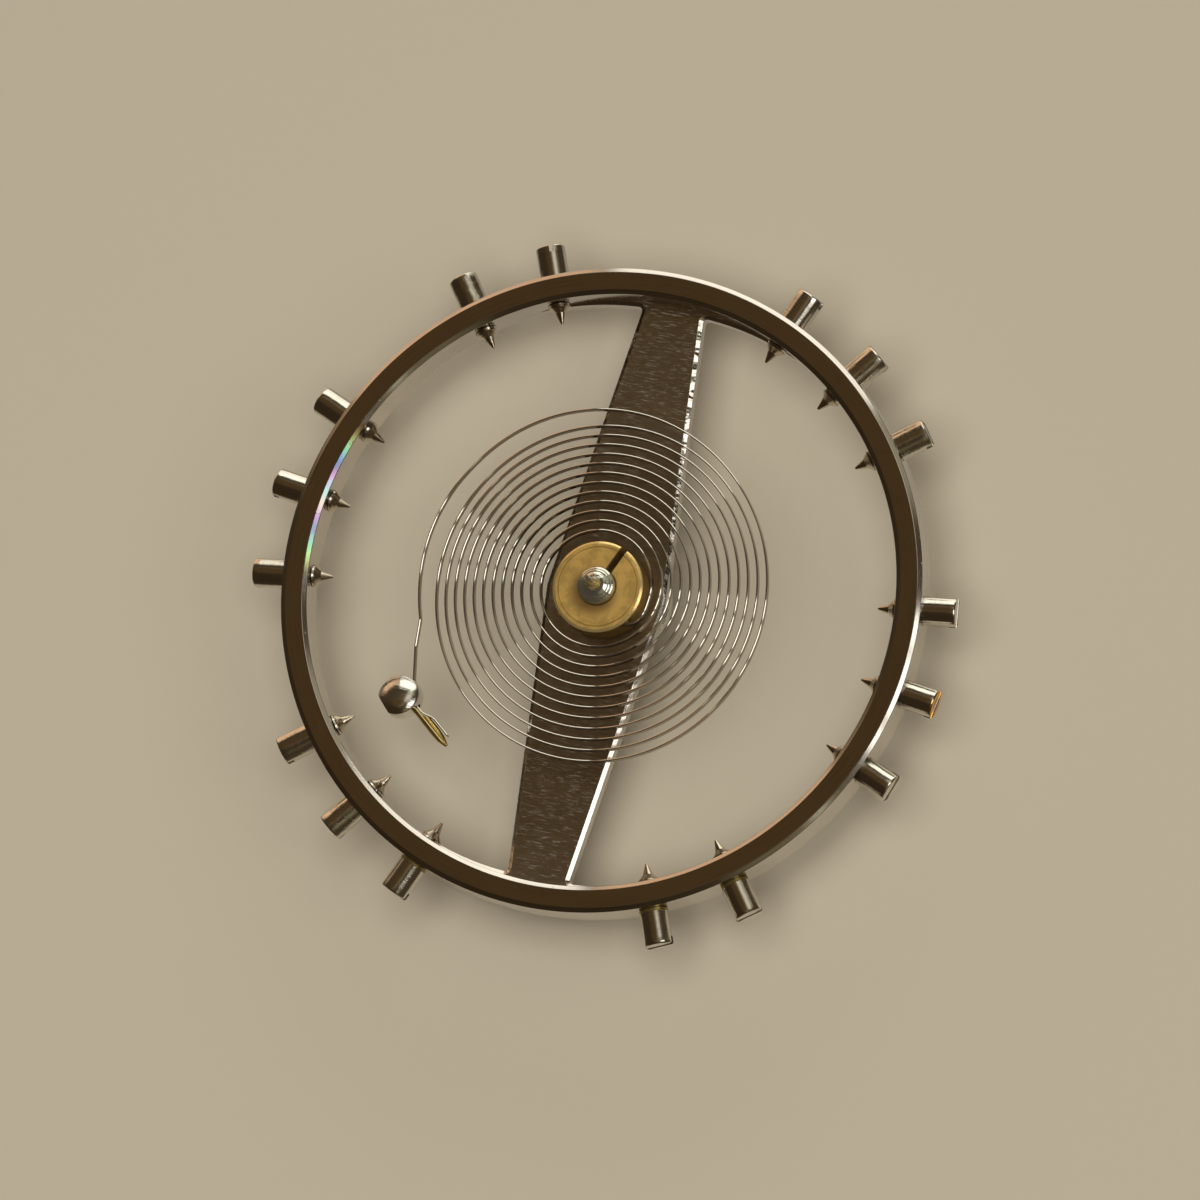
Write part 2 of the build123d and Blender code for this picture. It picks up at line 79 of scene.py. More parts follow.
class Finish:                                   # a material, or the world, and the nodes it is made of
    def __init__(self, name, owners=bpy.data.materials):
        self.owner = owners.new(name)
        self.owner.use_nodes = True
        self.tree = self.owner.node_tree
        self.tree.nodes.clear()

    def node(self, kind, settings=None, inputs=None, out=0):
        made = self.tree.nodes.new("ShaderNode" + kind)
        for key, value in (settings or {}).items():
            if key == "stops":
                ramp = made.color_ramp.elements
                while len(ramp) < len(value):
                    ramp.new(0.5)
                for stop, (place, colour) in zip(ramp, value):
                    stop.position, stop.color = place, (*colour, 1)
            else:
                setattr(made, key, value)
        for key, value in (inputs or {}).items():
            socket = made.inputs[key]
            if isinstance(value, Wire):
                self.tree.links.new(value.socket, socket)
            elif socket.type == "RGBA":
                socket.default_value = (*value, 1)
            else:
                socket.default_value = value
        return Wire(self, made.outputs[out]) if made.outputs else None

    def place(self):                            # the piece's own coordinates, in millimetres
        coords = self.node("TexCoord", out="Object")
        return self.node("VectorMath", {"operation": "SCALE"}, {0: coords, "Scale": 1 / mm})

    def split(self, vector):
        first = self.node("SeparateXYZ", inputs={0: vector})
        return [Wire(self, output) for output in first.socket.node.outputs]

    def join(self, x, y, z):
        return self.node("CombineXYZ", inputs={0: x, 1: y, 2: z})

    def turnedTo(self, vector, turn=(0, 0, 0), scale=(1, 1, 1)):
        turn = [math.radians(angle) for angle in turn]
        return self.node("Mapping", {"vector_type": "POINT"}, {"Vector": vector, "Rotation": turn, "Scale": scale})

    def noise(self, vector, scale, detail=3, rough=0.55, warp=0):
        inputs = {"Vector": vector, "Scale": scale, "Detail": detail, "Roughness": rough, "Distortion": warp}
        return self.node("TexNoise", inputs=inputs)

    def cells(self, vector, scale, feature="F1"):
        return self.node("TexVoronoi", {"feature": feature}, {"Vector": vector, "Scale": scale})

    def remap(self, value, low, high, newLow=0.0, newHigh=1.0):
        inputs = {"Value": value, "From Min": low, "From Max": high, "To Min": newLow, "To Max": newHigh}
        return self.node("MapRange", {"interpolation_type": "SMOOTHSTEP"}, inputs)

    def band(self, value, low, high, soft):     # 1 between low and high
        return self.remap(value, low - soft, low + soft) * self.remap(value, high - soft, high + soft, 1, 0)

    def polar(self, vector):                    # distance from the staff, angle round it in degrees, height
        x, y, z = self.split(vector)
        return (x * x + y * y) ** 0.5, y.sum("ARCTAN2", y, x) * (180 / math.pi), z

    def mix(self, share, first, second, blend="MIX"):
        return self.node("Mix", {"data_type": "RGBA", "blend_type": blend}, {0: share, 6: first, 7: second}, out=2)

    def between(self, share, first, second):    # one normal or the other
        return self.node("Mix", {"data_type": "VECTOR"}, {0: share, 4: first, 5: second}, out=1)

    def shaded(self, colour, share, low=0.8, high=1.2):   # a colour made darker and lighter by a value
        grey = self.remap(share, 0, 1, low, high)
        return self.mix(1.0, colour, self.join(grey, grey, grey), "MULTIPLY")

    def bump(self, height, depth, under=None):  # depth in millimetres
        inputs = {"Height": height, "Distance": depth * mm, "Strength": 1.0}
        if under:
            inputs["Normal"] = under
        return self.node("Bump", inputs=inputs)

    def surface(self, inputs):
        shader = self.node("BsdfPrincipled", inputs=inputs)
        self.node("OutputMaterial", inputs={"Surface": shader})
        return self.owner


# Mesh helpers, all in millimetres until a piece is finished
def heading(angle):
    return Vector((math.cos(math.radians(angle)), math.sin(math.radians(angle)), 0))


def turned(profile, steps=96, closed=False):    # spins (radius, height) points round Z
    shape = bmesh.new()
    points = [shape.verts.new((radius, 0, height)) for radius, height in profile]
    chain = [shape.edges.new(pair) for pair in zip(points, points[1:] + (points[:1] if closed else []))]
    bmesh.ops.spin(shape, geom=points + chain, cent=(0, 0, 0), axis=(0, 0, 1), dvec=(0, 0, 0),
                   angle=2 * math.pi, steps=steps, use_merge=True)
    bmesh.ops.remove_doubles(shape, verts=shape.verts, dist=1e-4)
    bmesh.ops.recalc_face_normals(shape, faces=shape.faces)
    return shape


def slab(outline, bottom, top):                 # an outline of (x, y) points, made solid between two heights
    shape = bmesh.new()
    face = shape.faces.new([shape.verts.new((x, y, bottom)) for x, y in outline])
    raised = bmesh.ops.extrude_face_region(shape, geom=[face])
    tops = [item for item in raised["geom"] if isinstance(item, bmesh.types.BMVert)]
    bmesh.ops.translate(shape, verts=tops, vec=(0, 0, top - bottom))
    bmesh.ops.recalc_face_normals(shape, faces=shape.faces)
    return shape


def ease(shape, width, segments=2, angle=25, clamp=True, chosen=lambda edge: True):   # breaks the sharp edges
    edges = [edge for edge in shape.edges
             if edge.is_manifold and edge.calc_face_angle(0) > math.radians(angle) and chosen(edge)]
    bmesh.ops.bevel(shape, geom=edges, offset=width, offset_type="OFFSET", segments=segments, profile=0.5,
                    affect="EDGES", clamp_overlap=clamp, material=-1)
    return shape


def shifted(shape, level, rise):                # lifts the points at one height
    verts = [vert for vert in shape.verts if abs(vert.co.z - level) < 5e-4]
    bmesh.ops.translate(shape, verts=verts, vec=(0, 0, rise))


def moved(shape, matrix):
    bmesh.ops.transform(shape, matrix=matrix, verts=shape.verts)
    return shape


def laid(shape, point, direction):              # from standing on Z to lying along a direction
    turn = Matrix((Vector((0, 0, 1)), direction.cross(Vector((0, 0, 1))), direction)).transposed()
    return moved(shape, Matrix.Translation(point) @ turn.to_4x4())


def combined(shape, operation, *others):        # shape with the others cut out of it or joined to it
    objects = []
    for part in (shape, *others):
        bmesh.ops.recalc_face_normals(part, faces=part.faces)
        mesh = bpy.data.meshes.new("cutter")
        part.to_mesh(mesh)
        part.free()
        objects.append(bpy.data.objects.new("cutter", mesh))
        bpy.context.scene.collection.objects.link(objects[-1])
    for other in objects[1:]:
        modifier = objects[0].modifiers.new("cut", "BOOLEAN")
        modifier.operation, modifier.solver, modifier.object = operation, "EXACT", other
    solid = bmesh.new()
    solid.from_mesh(objects[0].evaluated_get(bpy.context.evaluated_depsgraph_get()).to_mesh())
    for part in objects:
        mesh = part.data
        bpy.data.objects.remove(part)
        bpy.data.meshes.remove(mesh)
    bmesh.ops.remove_doubles(solid, verts=solid.verts, dist=1e-5)
    return solid


def finished(name, shape, finish, nodes=(), body="balance", sharp=12):
    bmesh.ops.recalc_face_normals(shape, faces=shape.faces)
    if shape.calc_volume(signed=True) < 0:
        bmesh.ops.reverse_faces(shape, faces=shape.faces)
    bmesh.ops.scale(shape, vec=(mm, mm, mm), verts=shape.verts)
    mesh = bpy.data.meshes.new(name)
    shape.to_mesh(mesh)
    shape.free()
    mesh.shade_smooth()
    mesh.set_sharp_from_angle(angle=math.radians(sharp))
    mesh.materials.append(finish)
    piece = bpy.data.objects.new(name, mesh)
    bpy.context.scene.collection.objects.link(piece)
    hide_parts(*nodes)
    if body:
        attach(piece, body)
    print("made", name, len(mesh.polygons), "faces")
    return piece


# Finishes
def wheelNickel():
    colours = {"nickel": (0.60, 0.565, 0.52), "armNickel": (0.60, 0.53, 0.44), "scratch": (0.70, 0.64, 0.54)}
    # Painted rainbow reflection: the colours that fine turning marks split from the light on one stretch of the inner
    # bevel, painted into the bevel's colour there
    paintedSpectrum = [(0.00, (0.40, 0.27, 0.15)), (0.09, (0.42, 0.40, 0.16)), (0.17, (0.16, 0.38, 0.20)),
                (0.26, (0.16, 0.26, 0.44)), (0.36, (0.32, 0.19, 0.34)), (0.46, (0.20, 0.34, 0.35)),
                (0.55, (0.38, 0.33, 0.29)), (0.64, (0.31, 0.21, 0.36)), (0.73, (0.22, 0.30, 0.42)),
                (0.83, (0.17, 0.39, 0.22)), (0.92, (0.36, 0.43, 0.19)), (1.00, (0.46, 0.43, 0.32))]
    f = Finish("wheelNickel")
    place = f.place()
    radius, angle, height = f.polar(place)
    x, y, z = f.split(place)
    inside = f.remap(radius, 7.79, 7.80, 1, 0)
    armTop = f.band(height, 2.446, 2.47, 0.002) * inside
    wall = f.band(height, 2.06, 2.385, 0.005) * inside
    armEdge = f.band(height, 2.388, 2.449, 0.002) * inside
    grain = f.noise(f.turnedTo(place, (0, 0, 4), (1.2, 38, 1)), 1.0, 3, 0.55)
    dashes = f.remap(f.noise(f.turnedTo(place, (0, 0, 3), (4.6, 52, 1)), 1.0, 1, 0.4), 0.57, 0.76)
    rings = f.noise(f.join(radius * 0.4, angle * 0.05, height * 46), 1.0, 3, 0.6)
    topRings = f.noise(f.join(radius * 30, angle * 0.06, 3.0), 1.0, 3, 0.55)
    specks = f.remap(f.cells(place, 9), 0.05, 0.16, 1, 0) * f.remap(f.noise(place, 1.3), 0.42, 0.6)
    milled = f.noise(f.join(1.0, y * 7.5, height * 0.4), 1.0, 2, 0.5)
    beads = f.noise(f.join(x * 2, y * 2.6, 2.0), 1.0, 2, 0.5) * f.remap(y, -1.0, 3.0, 0.2, 1.0)
    tone = f.noise(place, 0.9, 4, 0.6)
    swing = (-y).sum("ARCTAN2", -y, -x) * (180 / math.pi)
    # painted rainbow reflection, on a fixed stretch of the inner bevel
    split = f.band(radius, 7.80, 7.935, 0.006) * f.remap(height, 3.08, 3.10) * f.band(swing, -23.5, 8.5, 0.8)
    streaks = f.noise(f.join(swing * 1.1, radius * 9, 5.0), 1.0, 3, 0.6)
    paintedSpectrumPlace = (swing + 23) / 31 + (streaks - 0.5) * 0.14
    colour = f.mix(armTop, colours["nickel"], colours["armNickel"])
    colour = f.shaded(colour, grain * armTop + topRings * (1 - armTop), 0.86, 1.14)
    colour = f.shaded(colour, tone, 0.92, 1.08)
    colour = f.mix((specks * 0.4 + dashes * 0.5) * armTop, colour, colours["scratch"])
    colour = f.mix(split, colour, f.node("ValToRGB", {"stops": paintedSpectrum}, {0: paintedSpectrumPlace}))
    metal = 1 - armTop * (dashes * 0.17 + specks * 0.16)
    rough = 0.11 + armTop * 0.16 + grain * armTop * 0.08 + tone * 0.06 + wall * 0.03
    height = grain * armTop * 0.7 + rings * (1 - armTop) * 0.35 + specks * 0.4
    normal = f.bump(height, 0.005)
    normal = f.between(wall, normal, f.bump(milled, 0.006))
    normal = f.between(armEdge, normal, f.bump(beads, 0.045))
    return f.surface({"Base Color": colour, "Metallic": metal, "Roughness": rough, "Normal": normal})


def screwNickel():
    colours = {"nickel": (0.72, 0.69, 0.62), "green": (0.56, 0.58, 0.48), "stain": (0.50, 0.38, 0.22),
               "gold": (0.80, 0.44, 0.08), "goldMiddle": (0.30, 0.17, 0.07)}
    gilded = {"angle": -7.5, "start": 9.33, "ring": 0.24}    # the one head whose end is gilt
    f = Finish("screwNickel")
    place = f.place()
    x, y, z = f.split(place)
    radius, angle, height = f.polar(place)
    lines = f.noise(f.join(radius * 40, angle * 0.02, height * 0.3), 1.0, 3, 0.6)
    # Painted reflection: on the screws picked by these angles the scuffs are stronger and tinted green, standing for a
    # dark greenish surrounding mirrored in them; on every head they are also faint wear
    wornAndSheen = f.band(angle, 30, 60, 2) + f.band(angle, -150, -120, 2) + f.band(angle, 120, 135, 2)
    scuffsAndSheen = f.remap(f.noise(f.join(radius * 5, angle * 1.6, height * 9), 1.0, 4, 0.65), 0.45, 0.70) * (0.25 + wornAndSheen * 0.75)
    tone = f.noise(place, 2.1, 4, 0.6)
    thread = f.remap(radius, 7.72, 7.80, 1, 0)
    turn = heading(gilded["angle"])
    across = y * turn.x - x * turn.y
    fromAxis = (across * across + (z - screwHeight) * (z - screwHeight)) ** 0.5
    goldEnd = f.remap(radius, gilded["start"], gilded["start"] + 0.015) * f.band(angle, -10.5, -4.5, 0.3)
    colour = f.shaded(colours["nickel"], lines, 0.90, 1.10)
    colour = f.mix(scuffsAndSheen * 0.5, colour, colours["green"])
    colour = f.mix(f.remap(tone, 0.55, 0.75) * 0.20 + thread * 0.45, colour, colours["stain"])
    gold = f.mix(f.remap(fromAxis, gilded["ring"] - 0.05, gilded["ring"] + 0.02, 1, 0), colours["gold"], colours["goldMiddle"])
    colour = f.mix(goldEnd, colour, gold)
    rough = 0.09 + lines * 0.06 + scuffsAndSheen * 0.10 + tone * 0.05
    normal = f.bump(lines, 0.002)
    normal = f.bump(scuffsAndSheen, 0.0022, normal)
    return f.surface({"Base Color": colour, "Metallic": 1.0, "Roughness": rough, "Normal": normal})


def turnedSteel():
    colours = {"steel": (0.70, 0.72, 0.63), "darkPatch": (0.40, 0.43, 0.33)}
    f = Finish("turnedSteel")
    place = f.place()
    radius, angle, height = f.polar(place)
    lines = f.noise(f.join(radius * 26, angle * 0.01, height * 30), 1.0, 3, 0.6)
    tone = f.noise(place, 3.0, 3, 0.55)
    colour = f.mix(f.remap(tone, 0.5, 0.8) * 0.4, f.shaded(colours["steel"], lines, 0.86, 1.12), colours["darkPatch"])
    normal = f.bump(lines, 0.004)
    normal = f.bump(f.noise(place, 7.0, 2, 0.5), 0.012, normal)
    return f.surface({"Base Color": colour, "Metallic": 0.95, "Roughness": 0.11 + lines * 0.10, "Normal": normal})


def studSteel():
    colours = {"steel": (0.78, 0.77, 0.72), "haze": (0.58, 0.54, 0.44)}
    f = Finish("studSteel")
    place = f.place()
    tone = f.noise(place, 2.4, 4, 0.6)
    scratches = f.noise(f.turnedTo(place, (0, 0, 30), (2, 40, 6)), 1.0, 2, 0.5)
    colour = f.mix(f.remap(tone, 0.4, 0.75) * 0.5, colours["steel"], colours["haze"])
    normal = f.bump(scratches + tone, 0.004)
    return f.surface({"Base Color": colour, "Metallic": 1.0, "Roughness": 0.09 + tone * 0.10, "Normal": normal})


def springSteel():
    colours = {"steel": (0.66, 0.63, 0.57), "drawn": (0.54, 0.50, 0.43), "side": (0.27, 0.22, 0.165)}
    f = Finish("springSteel")
    place = f.place()
    radius, angle, height = f.polar(place)
    drawn = f.noise(f.join(radius * 6, angle * 0.05, height * 40), 1.0, 3, 0.6)
    colour = f.mix(drawn, colours["steel"], colours["drawn"])
    # Painted shade: below its top edge facets the strip gets a dark colour, standing for the shadowed cloth that its
    # sides reflect
    colour = f.mix(f.remap(height, 3.237, 3.240), colours["side"], colour)   # only its edges are bright
    return f.surface({"Base Color": colour, "Metallic": 0.96, "Roughness": 0.05 + drawn * 0.06,
                      "Normal": f.bump(drawn, 0.0008)})


def colletBrass():
    colours = {"brass": (0.72, 0.47, 0.14), "wornAndSheen": (0.86, 0.66, 0.30), "dull": (0.42, 0.28, 0.08), "darkPatch": (0.17, 0.09, 0.035)}
    f = Finish("colletBrass")
    place = f.place()
    radius, angle, height = f.polar(place)
    lines = f.noise(f.join(radius * 34, angle * 0.012, height * 34), 1.0, 3, 0.6)
    tone = f.noise(place, 2.6, 4, 0.6)
    edge = f.remap(radius, 1.125, 1.135) * f.remap(height, 3.325, 3.335)
    x, y, z = f.split(place)
    # Painted shadow: a dark patch, off-centre round the staff's foot, where the staff's shadow falls on the collet's
    # top
    spread = ((x + 0.07) ** 2 + (y + 0.13) ** 2) ** 0.5 + tone * 0.16
    darkPatch = f.remap(spread, 0.50, 0.84, 1, 0) * f.remap(height, 3.33, 3.36)
    # Painted shade: the groove is painted darker
    groove = f.band(radius, 1.03, 1.06, 0.004) * f.remap(height, 3.35, 3.375, 1, 0)
    # Painted shade: the side wall below the top is painted darker
    side = f.remap(height, 3.22, 3.29, 1, 0)
    colour = f.shaded(colours["brass"], lines, 0.88, 1.12)
    colour = f.mix(f.remap(tone, 0.42, 0.62) * 0.60 + side * 0.4 + groove * 0.7, colour, colours["dull"])
    colour = f.mix(darkPatch * 0.75, colour, colours["darkPatch"])
    # Partly wear and partly painted highlight: the outer bevel is painted a lighter brass all round
    colour = f.mix(edge * 0.7, colour, colours["wornAndSheen"])
    metal = 0.58 + side * 0.32 + edge * 0.2
    normal = f.bump(lines + tone * 0.5, 0.006)
    return f.surface({"Base Color": colour, "Metallic": metal, "Roughness": 0.28 + lines * 0.14 - edge * 0.14,
                      "Normal": normal})


def pinBrass():
    colours = {"brass": (0.62, 0.44, 0.13), "dull": (0.32, 0.21, 0.06), "paintedHighlight": (1.0, 0.86, 0.48)}
    f = Finish("pinBrass")
    place = f.place()
    x, y, z = f.split(place)
    drawn = f.noise(f.turnedTo(place, (0, 0, 38.5), (1.5, 30, 30)), 1.0, 3, 0.6)
    tone = f.noise(place, 4.0, 3, 0.6)
    across = heading(pinHole["studAngle"] + 90)
    # Painted highlight: a pale bright line along the pin's top beside the flat, with less metal so it stays bright
    aside = abs((x - studPlace.x) * across.x + (y - studPlace.y) * across.y - pinHole["studOffset"] + 0.01)
    paintedHighlight = f.remap(aside, 0.004, 0.020, 1, 0) * f.remap(z, pinHole["height"] + 0.05, pinHole["height"] + 0.09)
    colour = f.mix(f.remap(tone, 0.45, 0.8), f.shaded(colours["brass"], drawn, 0.88, 1.12), colours["dull"])
    colour = f.mix(paintedHighlight * 0.85, colour, colours["paintedHighlight"])
    return f.surface({"Base Color": colour, "Metallic": 0.92 - paintedHighlight * 0.60, "Roughness": 0.16 + drawn * 0.12,
                      "Normal": f.bump(drawn, 0.004)})


def washerBrass():
    colours = {"brass": (0.36, 0.28, 0.105), "dull": (0.18, 0.13, 0.045)}
    f = Finish("washerBrass")
    place = f.place()
    radius, angle, height = f.polar(place)
    stamped = f.noise(place, 6.0, 4, 0.6)
    lines = f.noise(f.join(radius * 40, angle * 0.02, height * 0.3), 1.0, 2, 0.5)
    colour = f.mix(f.remap(stamped, 0.45, 0.8) * 0.7, colours["brass"], colours["dull"])
    return f.surface({"Base Color": colour, "Metallic": 0.9, "Roughness": 0.26 + stamped * 0.2,
                      "Normal": f.bump(lines + stamped, 0.003)})


def jewelRuby():
    colours = {"ruby": (0.62, 0.02, 0.07), "deep": (0.38, 0.01, 0.04)}
    f = Finish("jewelRuby")
    place = f.place()
    cloud = f.noise(place, 5.0, 3, 0.5)
    colour = f.mix(cloud, colours["ruby"], colours["deep"])
    return f.surface({"Base Color": colour, "Roughness": 0.05 + cloud * 0.05, "IOR": 1.76,
                      "Transmission Weight": 0.75, "Normal": f.bump(cloud, 0.001)})


# Rim and arm
def balanceWheel(finish):
    size = {"radius": 8.50, "width": 0.69, "bottom": 2.05, "top": 3.18, "bevel": 0.12, "bevelHeight": 0.07,
            "underBevel": 0.05, "armTop": 2.45, "armEnd": 0.80, "armWaist": 1.60, "armBevel": 0.10,
            "armBevelHeight": 0.06, "windowRadius": 7.61,
            "windowShift": 0.47, "windowCorner": 0.15, "edge": 0.012, "bore": 0.63, "holeRadius": 0.29}
    inner, outer = size["radius"] - size["width"], size["radius"]
    ring = turned([
        (inner, size["bottom"] + size["underBevel"]), (inner + size["underBevel"], size["bottom"]),
        (outer - size["underBevel"], size["bottom"]), (outer, size["bottom"] + size["underBevel"]),
        (outer, size["top"] - size["bevelHeight"]), (outer - size["bevel"], size["top"]),
        (inner + size["bevel"], size["top"]), (inner, size["top"] - size["bevelHeight"]),
    ], steps=360, closed=True)
    ease(ring, size["edge"], segments=2)
    plate = turned([(0, size["bottom"]), (outer - 0.25, size["bottom"]), (outer - 0.25, size["armTop"]),
                    (0, size["armTop"])], steps=360)
    # Each window is a circle beside the arm, cut off by the arm's two slanting edges, and it opens out at the top
    windows = []
    for side in (-1, 1):
        waist = Vector((size["armWaist"], 0))
        end = Vector((size["armEnd"], inner))
        centre = Vector((size["windowShift"], 0))
        run = (end - waist).normalized()
        waist.x -= size["armBevel"] / run.y
        radius = size["windowRadius"] + size["armBevel"]
        back = (waist - centre).dot(run)
        reach = -back + math.sqrt(back ** 2 - (waist - centre).length_squared + radius ** 2)
        corner = waist + run * reach
        top = math.degrees(math.atan2(corner.y, corner.x - centre.x))
        arc = [centre + heading(top * (1 - step / 40)).to_2d() * radius for step in range(81)]
        outline = [(side * point.x, point.y) for point in [waist] + arc]
        window = slab(outline, size["armTop"], size["armTop"] + 0.5)
        corners = [edge for edge in window.edges
                   if abs(edge.verts[0].co.x - edge.verts[1].co.x) + abs(edge.verts[0].co.y - edge.verts[1].co.y) < 1e-6
                   and abs(abs(edge.verts[0].co.y) - corner.y) < 1e-4]
        bmesh.ops.bevel(window, geom=corners, offset=size["windowCorner"] + size["armBevel"], offset_type="OFFSET",
                        segments=16, profile=0.5, affect="EDGES", material=-1)
        under = min(window.faces, key=lambda face: face.calc_center_median().z)
        bmesh.ops.inset_region(window, faces=[under], thickness=size["armBevel"], depth=size["armBevelHeight"],
                               use_even_offset=True, use_boundary=True)
        drawn = bmesh.ops.extrude_face_region(window, geom=[under])["geom"]
        verts = [item for item in drawn if isinstance(item, bmesh.types.BMVert)]
        bmesh.ops.translate(window, verts=verts, vec=(0, 0, size["bottom"] - size["armTop"] - 0.5))
        bmesh.ops.delete(window, geom=[under], context="FACES_ONLY")
        windows.append(window)
    plate = combined(plate, "DIFFERENCE", *windows)
    ease(plate, size["edge"], segments=2, angle=20,
         chosen=lambda edge: all(vert.co.z > size["armTop"] - size["armBevelHeight"] - 1e-3
                                 and vert.co.xy.length < inner + 0.3 for vert in edge.verts))
    wheel = combined(ring, "UNION", plate)
    bore = turned([(0, 1.5), (size["bore"], 1.5), (size["bore"], 3.0), (0, 3.0)], steps=96)
    holes = []
    for angle in screwAngles:
        hole = turned([(0, inner - 0.5), (size["holeRadius"], inner - 0.5), (size["holeRadius"], outer + 0.5),
                       (0, outer + 0.5)], steps=32)
        holes.append(laid(hole, Vector((0, 0, screwHeight)), heading(angle)))
    wheel = combined(wheel, "DIFFERENCE", bore, *holes)
    return finished("balanceWheel", wheel, finish, ["balance_wheel"], sharp=7)


# Balance screws and washers
screwAngles = [(place + 0.5) * 15 for half in (0, 12) for place in (half + p for p in (0, 2, 3, 4, 7, 8, 10, 11))]
screwHeight = 2.615
washerScrews = (12, 13, 14)
slotTurns = (4, -7, 9, -12, 105, 6, -3, 11, -8, 5, -10, 3, 8, -5, 12, -6)   # of each screw, from level


def balanceScrew(number, angle, finish):
    size = {"seat": 8.50, "washer": 0.10, "headRadius": 0.385, "headLength": 0.87, "headBevel": 0.065,
            "slotWidth": 0.12, "slotDepth": 0.20, "threadRadius": 0.28, "land": 7.71,
            "coneRadius": 0.14, "cone": 7.57, "tip": 7.27, "tipRadius": 0.03, "edge": 0.010,
            "threadPitch": 0.075, "threadDepth": 0.022, "sides": 64}
    seat = size["seat"] + (size["washer"] if number in washerScrews else 0)
    end = seat + size["headLength"]
    half = size["slotWidth"] / 2
    shape = bmesh.new()
    bmesh.ops.create_circle(shape, cap_ends=True, cap_tris=False, segments=size["sides"], radius=size["headRadius"],
                            matrix=Matrix.Translation((0, 0, end - size["slotDepth"])))
    for side in (-half, half):
        bmesh.ops.bisect_plane(shape, geom=shape.verts[:] + shape.edges[:] + shape.faces[:], dist=1e-5,
                               plane_co=(side, 0, 0), plane_no=(1, 0, 0))
    halves = [face for face in shape.faces if abs(face.calc_center_median().x) > half]
    raised = bmesh.ops.extrude_face_region(shape, geom=halves)
    tops = [item for item in raised["geom"] if isinstance(item, bmesh.types.BMVert)]
    bmesh.ops.translate(shape, verts=tops, vec=(0, 0, size["slotDepth"]))
    bmesh.ops.delete(shape, geom=halves, context="FACES_ONLY")
    # The rest of the screw is drawn down from the rim of the head, ring by ring
    steps = [(size["headRadius"], seat), (size["threadRadius"], seat)]
    turns = round((seat - size["land"]) / size["threadPitch"])
    pitch = (seat - size["land"]) / turns
    for turn in range(turns):
        steps.append((size["threadRadius"] - size["threadDepth"], seat - (turn + 0.5) * pitch))
        steps.append((size["threadRadius"], seat - (turn + 0.9) * pitch))
    steps += [(size["threadRadius"], size["land"]), (size["coneRadius"], size["cone"]), (size["tipRadius"], size["tip"])]
    loop = [edge for edge in shape.edges if edge.is_boundary]
    last, level = size["headRadius"], end - size["slotDepth"]
    for radius, place in steps:
        drawn = bmesh.ops.extrude_edge_only(shape, edges=loop)["geom"]
        verts = [item for item in drawn if isinstance(item, bmesh.types.BMVert)]
        loop = [edge for edge in shape.edges if edge.is_boundary]
        bmesh.ops.translate(shape, verts=verts, vec=(0, 0, place - level))
        bmesh.ops.scale(shape, vec=(radius / last, radius / last, 1), verts=verts)
        last, level = radius, place
    bmesh.ops.contextual_create(shape, geom=loop)
    bmesh.ops.recalc_face_normals(shape, faces=shape.faces)
    ease(shape, size["headBevel"], segments=4, angle=60, clamp=False, chosen=lambda edge: all(
        abs(vert.co.z - end) < 1e-4 and abs(vert.co.xy.length - size["headRadius"]) < 1e-3 for vert in edge.verts))
    ease(shape, size["edge"], segments=2, angle=50, chosen=lambda edge: all(
        vert.co.z > end - 0.01 or abs(vert.co.z - seat) < 1e-4 for vert in edge.verts))
    moved(shape, Matrix.Rotation(math.radians(slotTurns[number - 1]), 4, "Z"))
    laid(shape, Vector((0, 0, screwHeight)), heading(angle))
    name = f"balanceScrew{number:02d}"
    return finished(name, shape, finish, [f"balance_screw_{number:02d}"])


def timingWasher(number, angle, finish):
    size = {"bore": 0.30, "radius": 0.37, "bottom": 8.50, "top": 8.60, "edge": 0.012}
    shape = turned([(size["bore"], size["bottom"]), (size["radius"], size["bottom"]),
                    (size["radius"], size["top"]), (size["bore"], size["top"])], steps=64, closed=True)
    ease(shape, size["edge"])
    laid(shape, Vector((0, 0, screwHeight)), heading(angle))
    return finished(f"timingWasher{number}", shape, finish, [f"timing_washer_{number}"])


# Staff, rollers and jewel
def balanceStaff(finish):
    profile = [(0, 0), (0.060, 0), (0.060, 0.35), (0.20, 0.75), (0.30, 0.75), (0.30, 1.70), (1.10, 1.70),
               (1.10, 2.05), (0.62, 2.05), (0.62, 2.45), (0.74, 2.45), (0.62, 2.51), (0.475, 2.51), (0.475, 3.585),
               (0.42, 3.62), (0.40, 3.62), (0.40, 3.652), (0.355, 3.68), (0.335, 3.68), (0.25, 3.732), (0.19, 3.80),
               (0.145, 3.90), (0.115, 4.02), (0.095, 4.13), (0.055, 4.23), (0.055, 4.53), (0, 4.53)]
    size = {"hubBevel": 0.12, "edge": 0.008, "steps": 128}
    staff = turned(profile, size["steps"])
    ease(staff, size["hubBevel"], segments=1, angle=60, chosen=lambda edge: all(
        abs(vert.co.z - 1.70) < 1e-4 and vert.co.xy.length > 1.05 for vert in edge.verts))
    ease(staff, size["edge"], segments=3, angle=18)
    return finished("balanceStaff", staff, finish, ["balance_staff"])


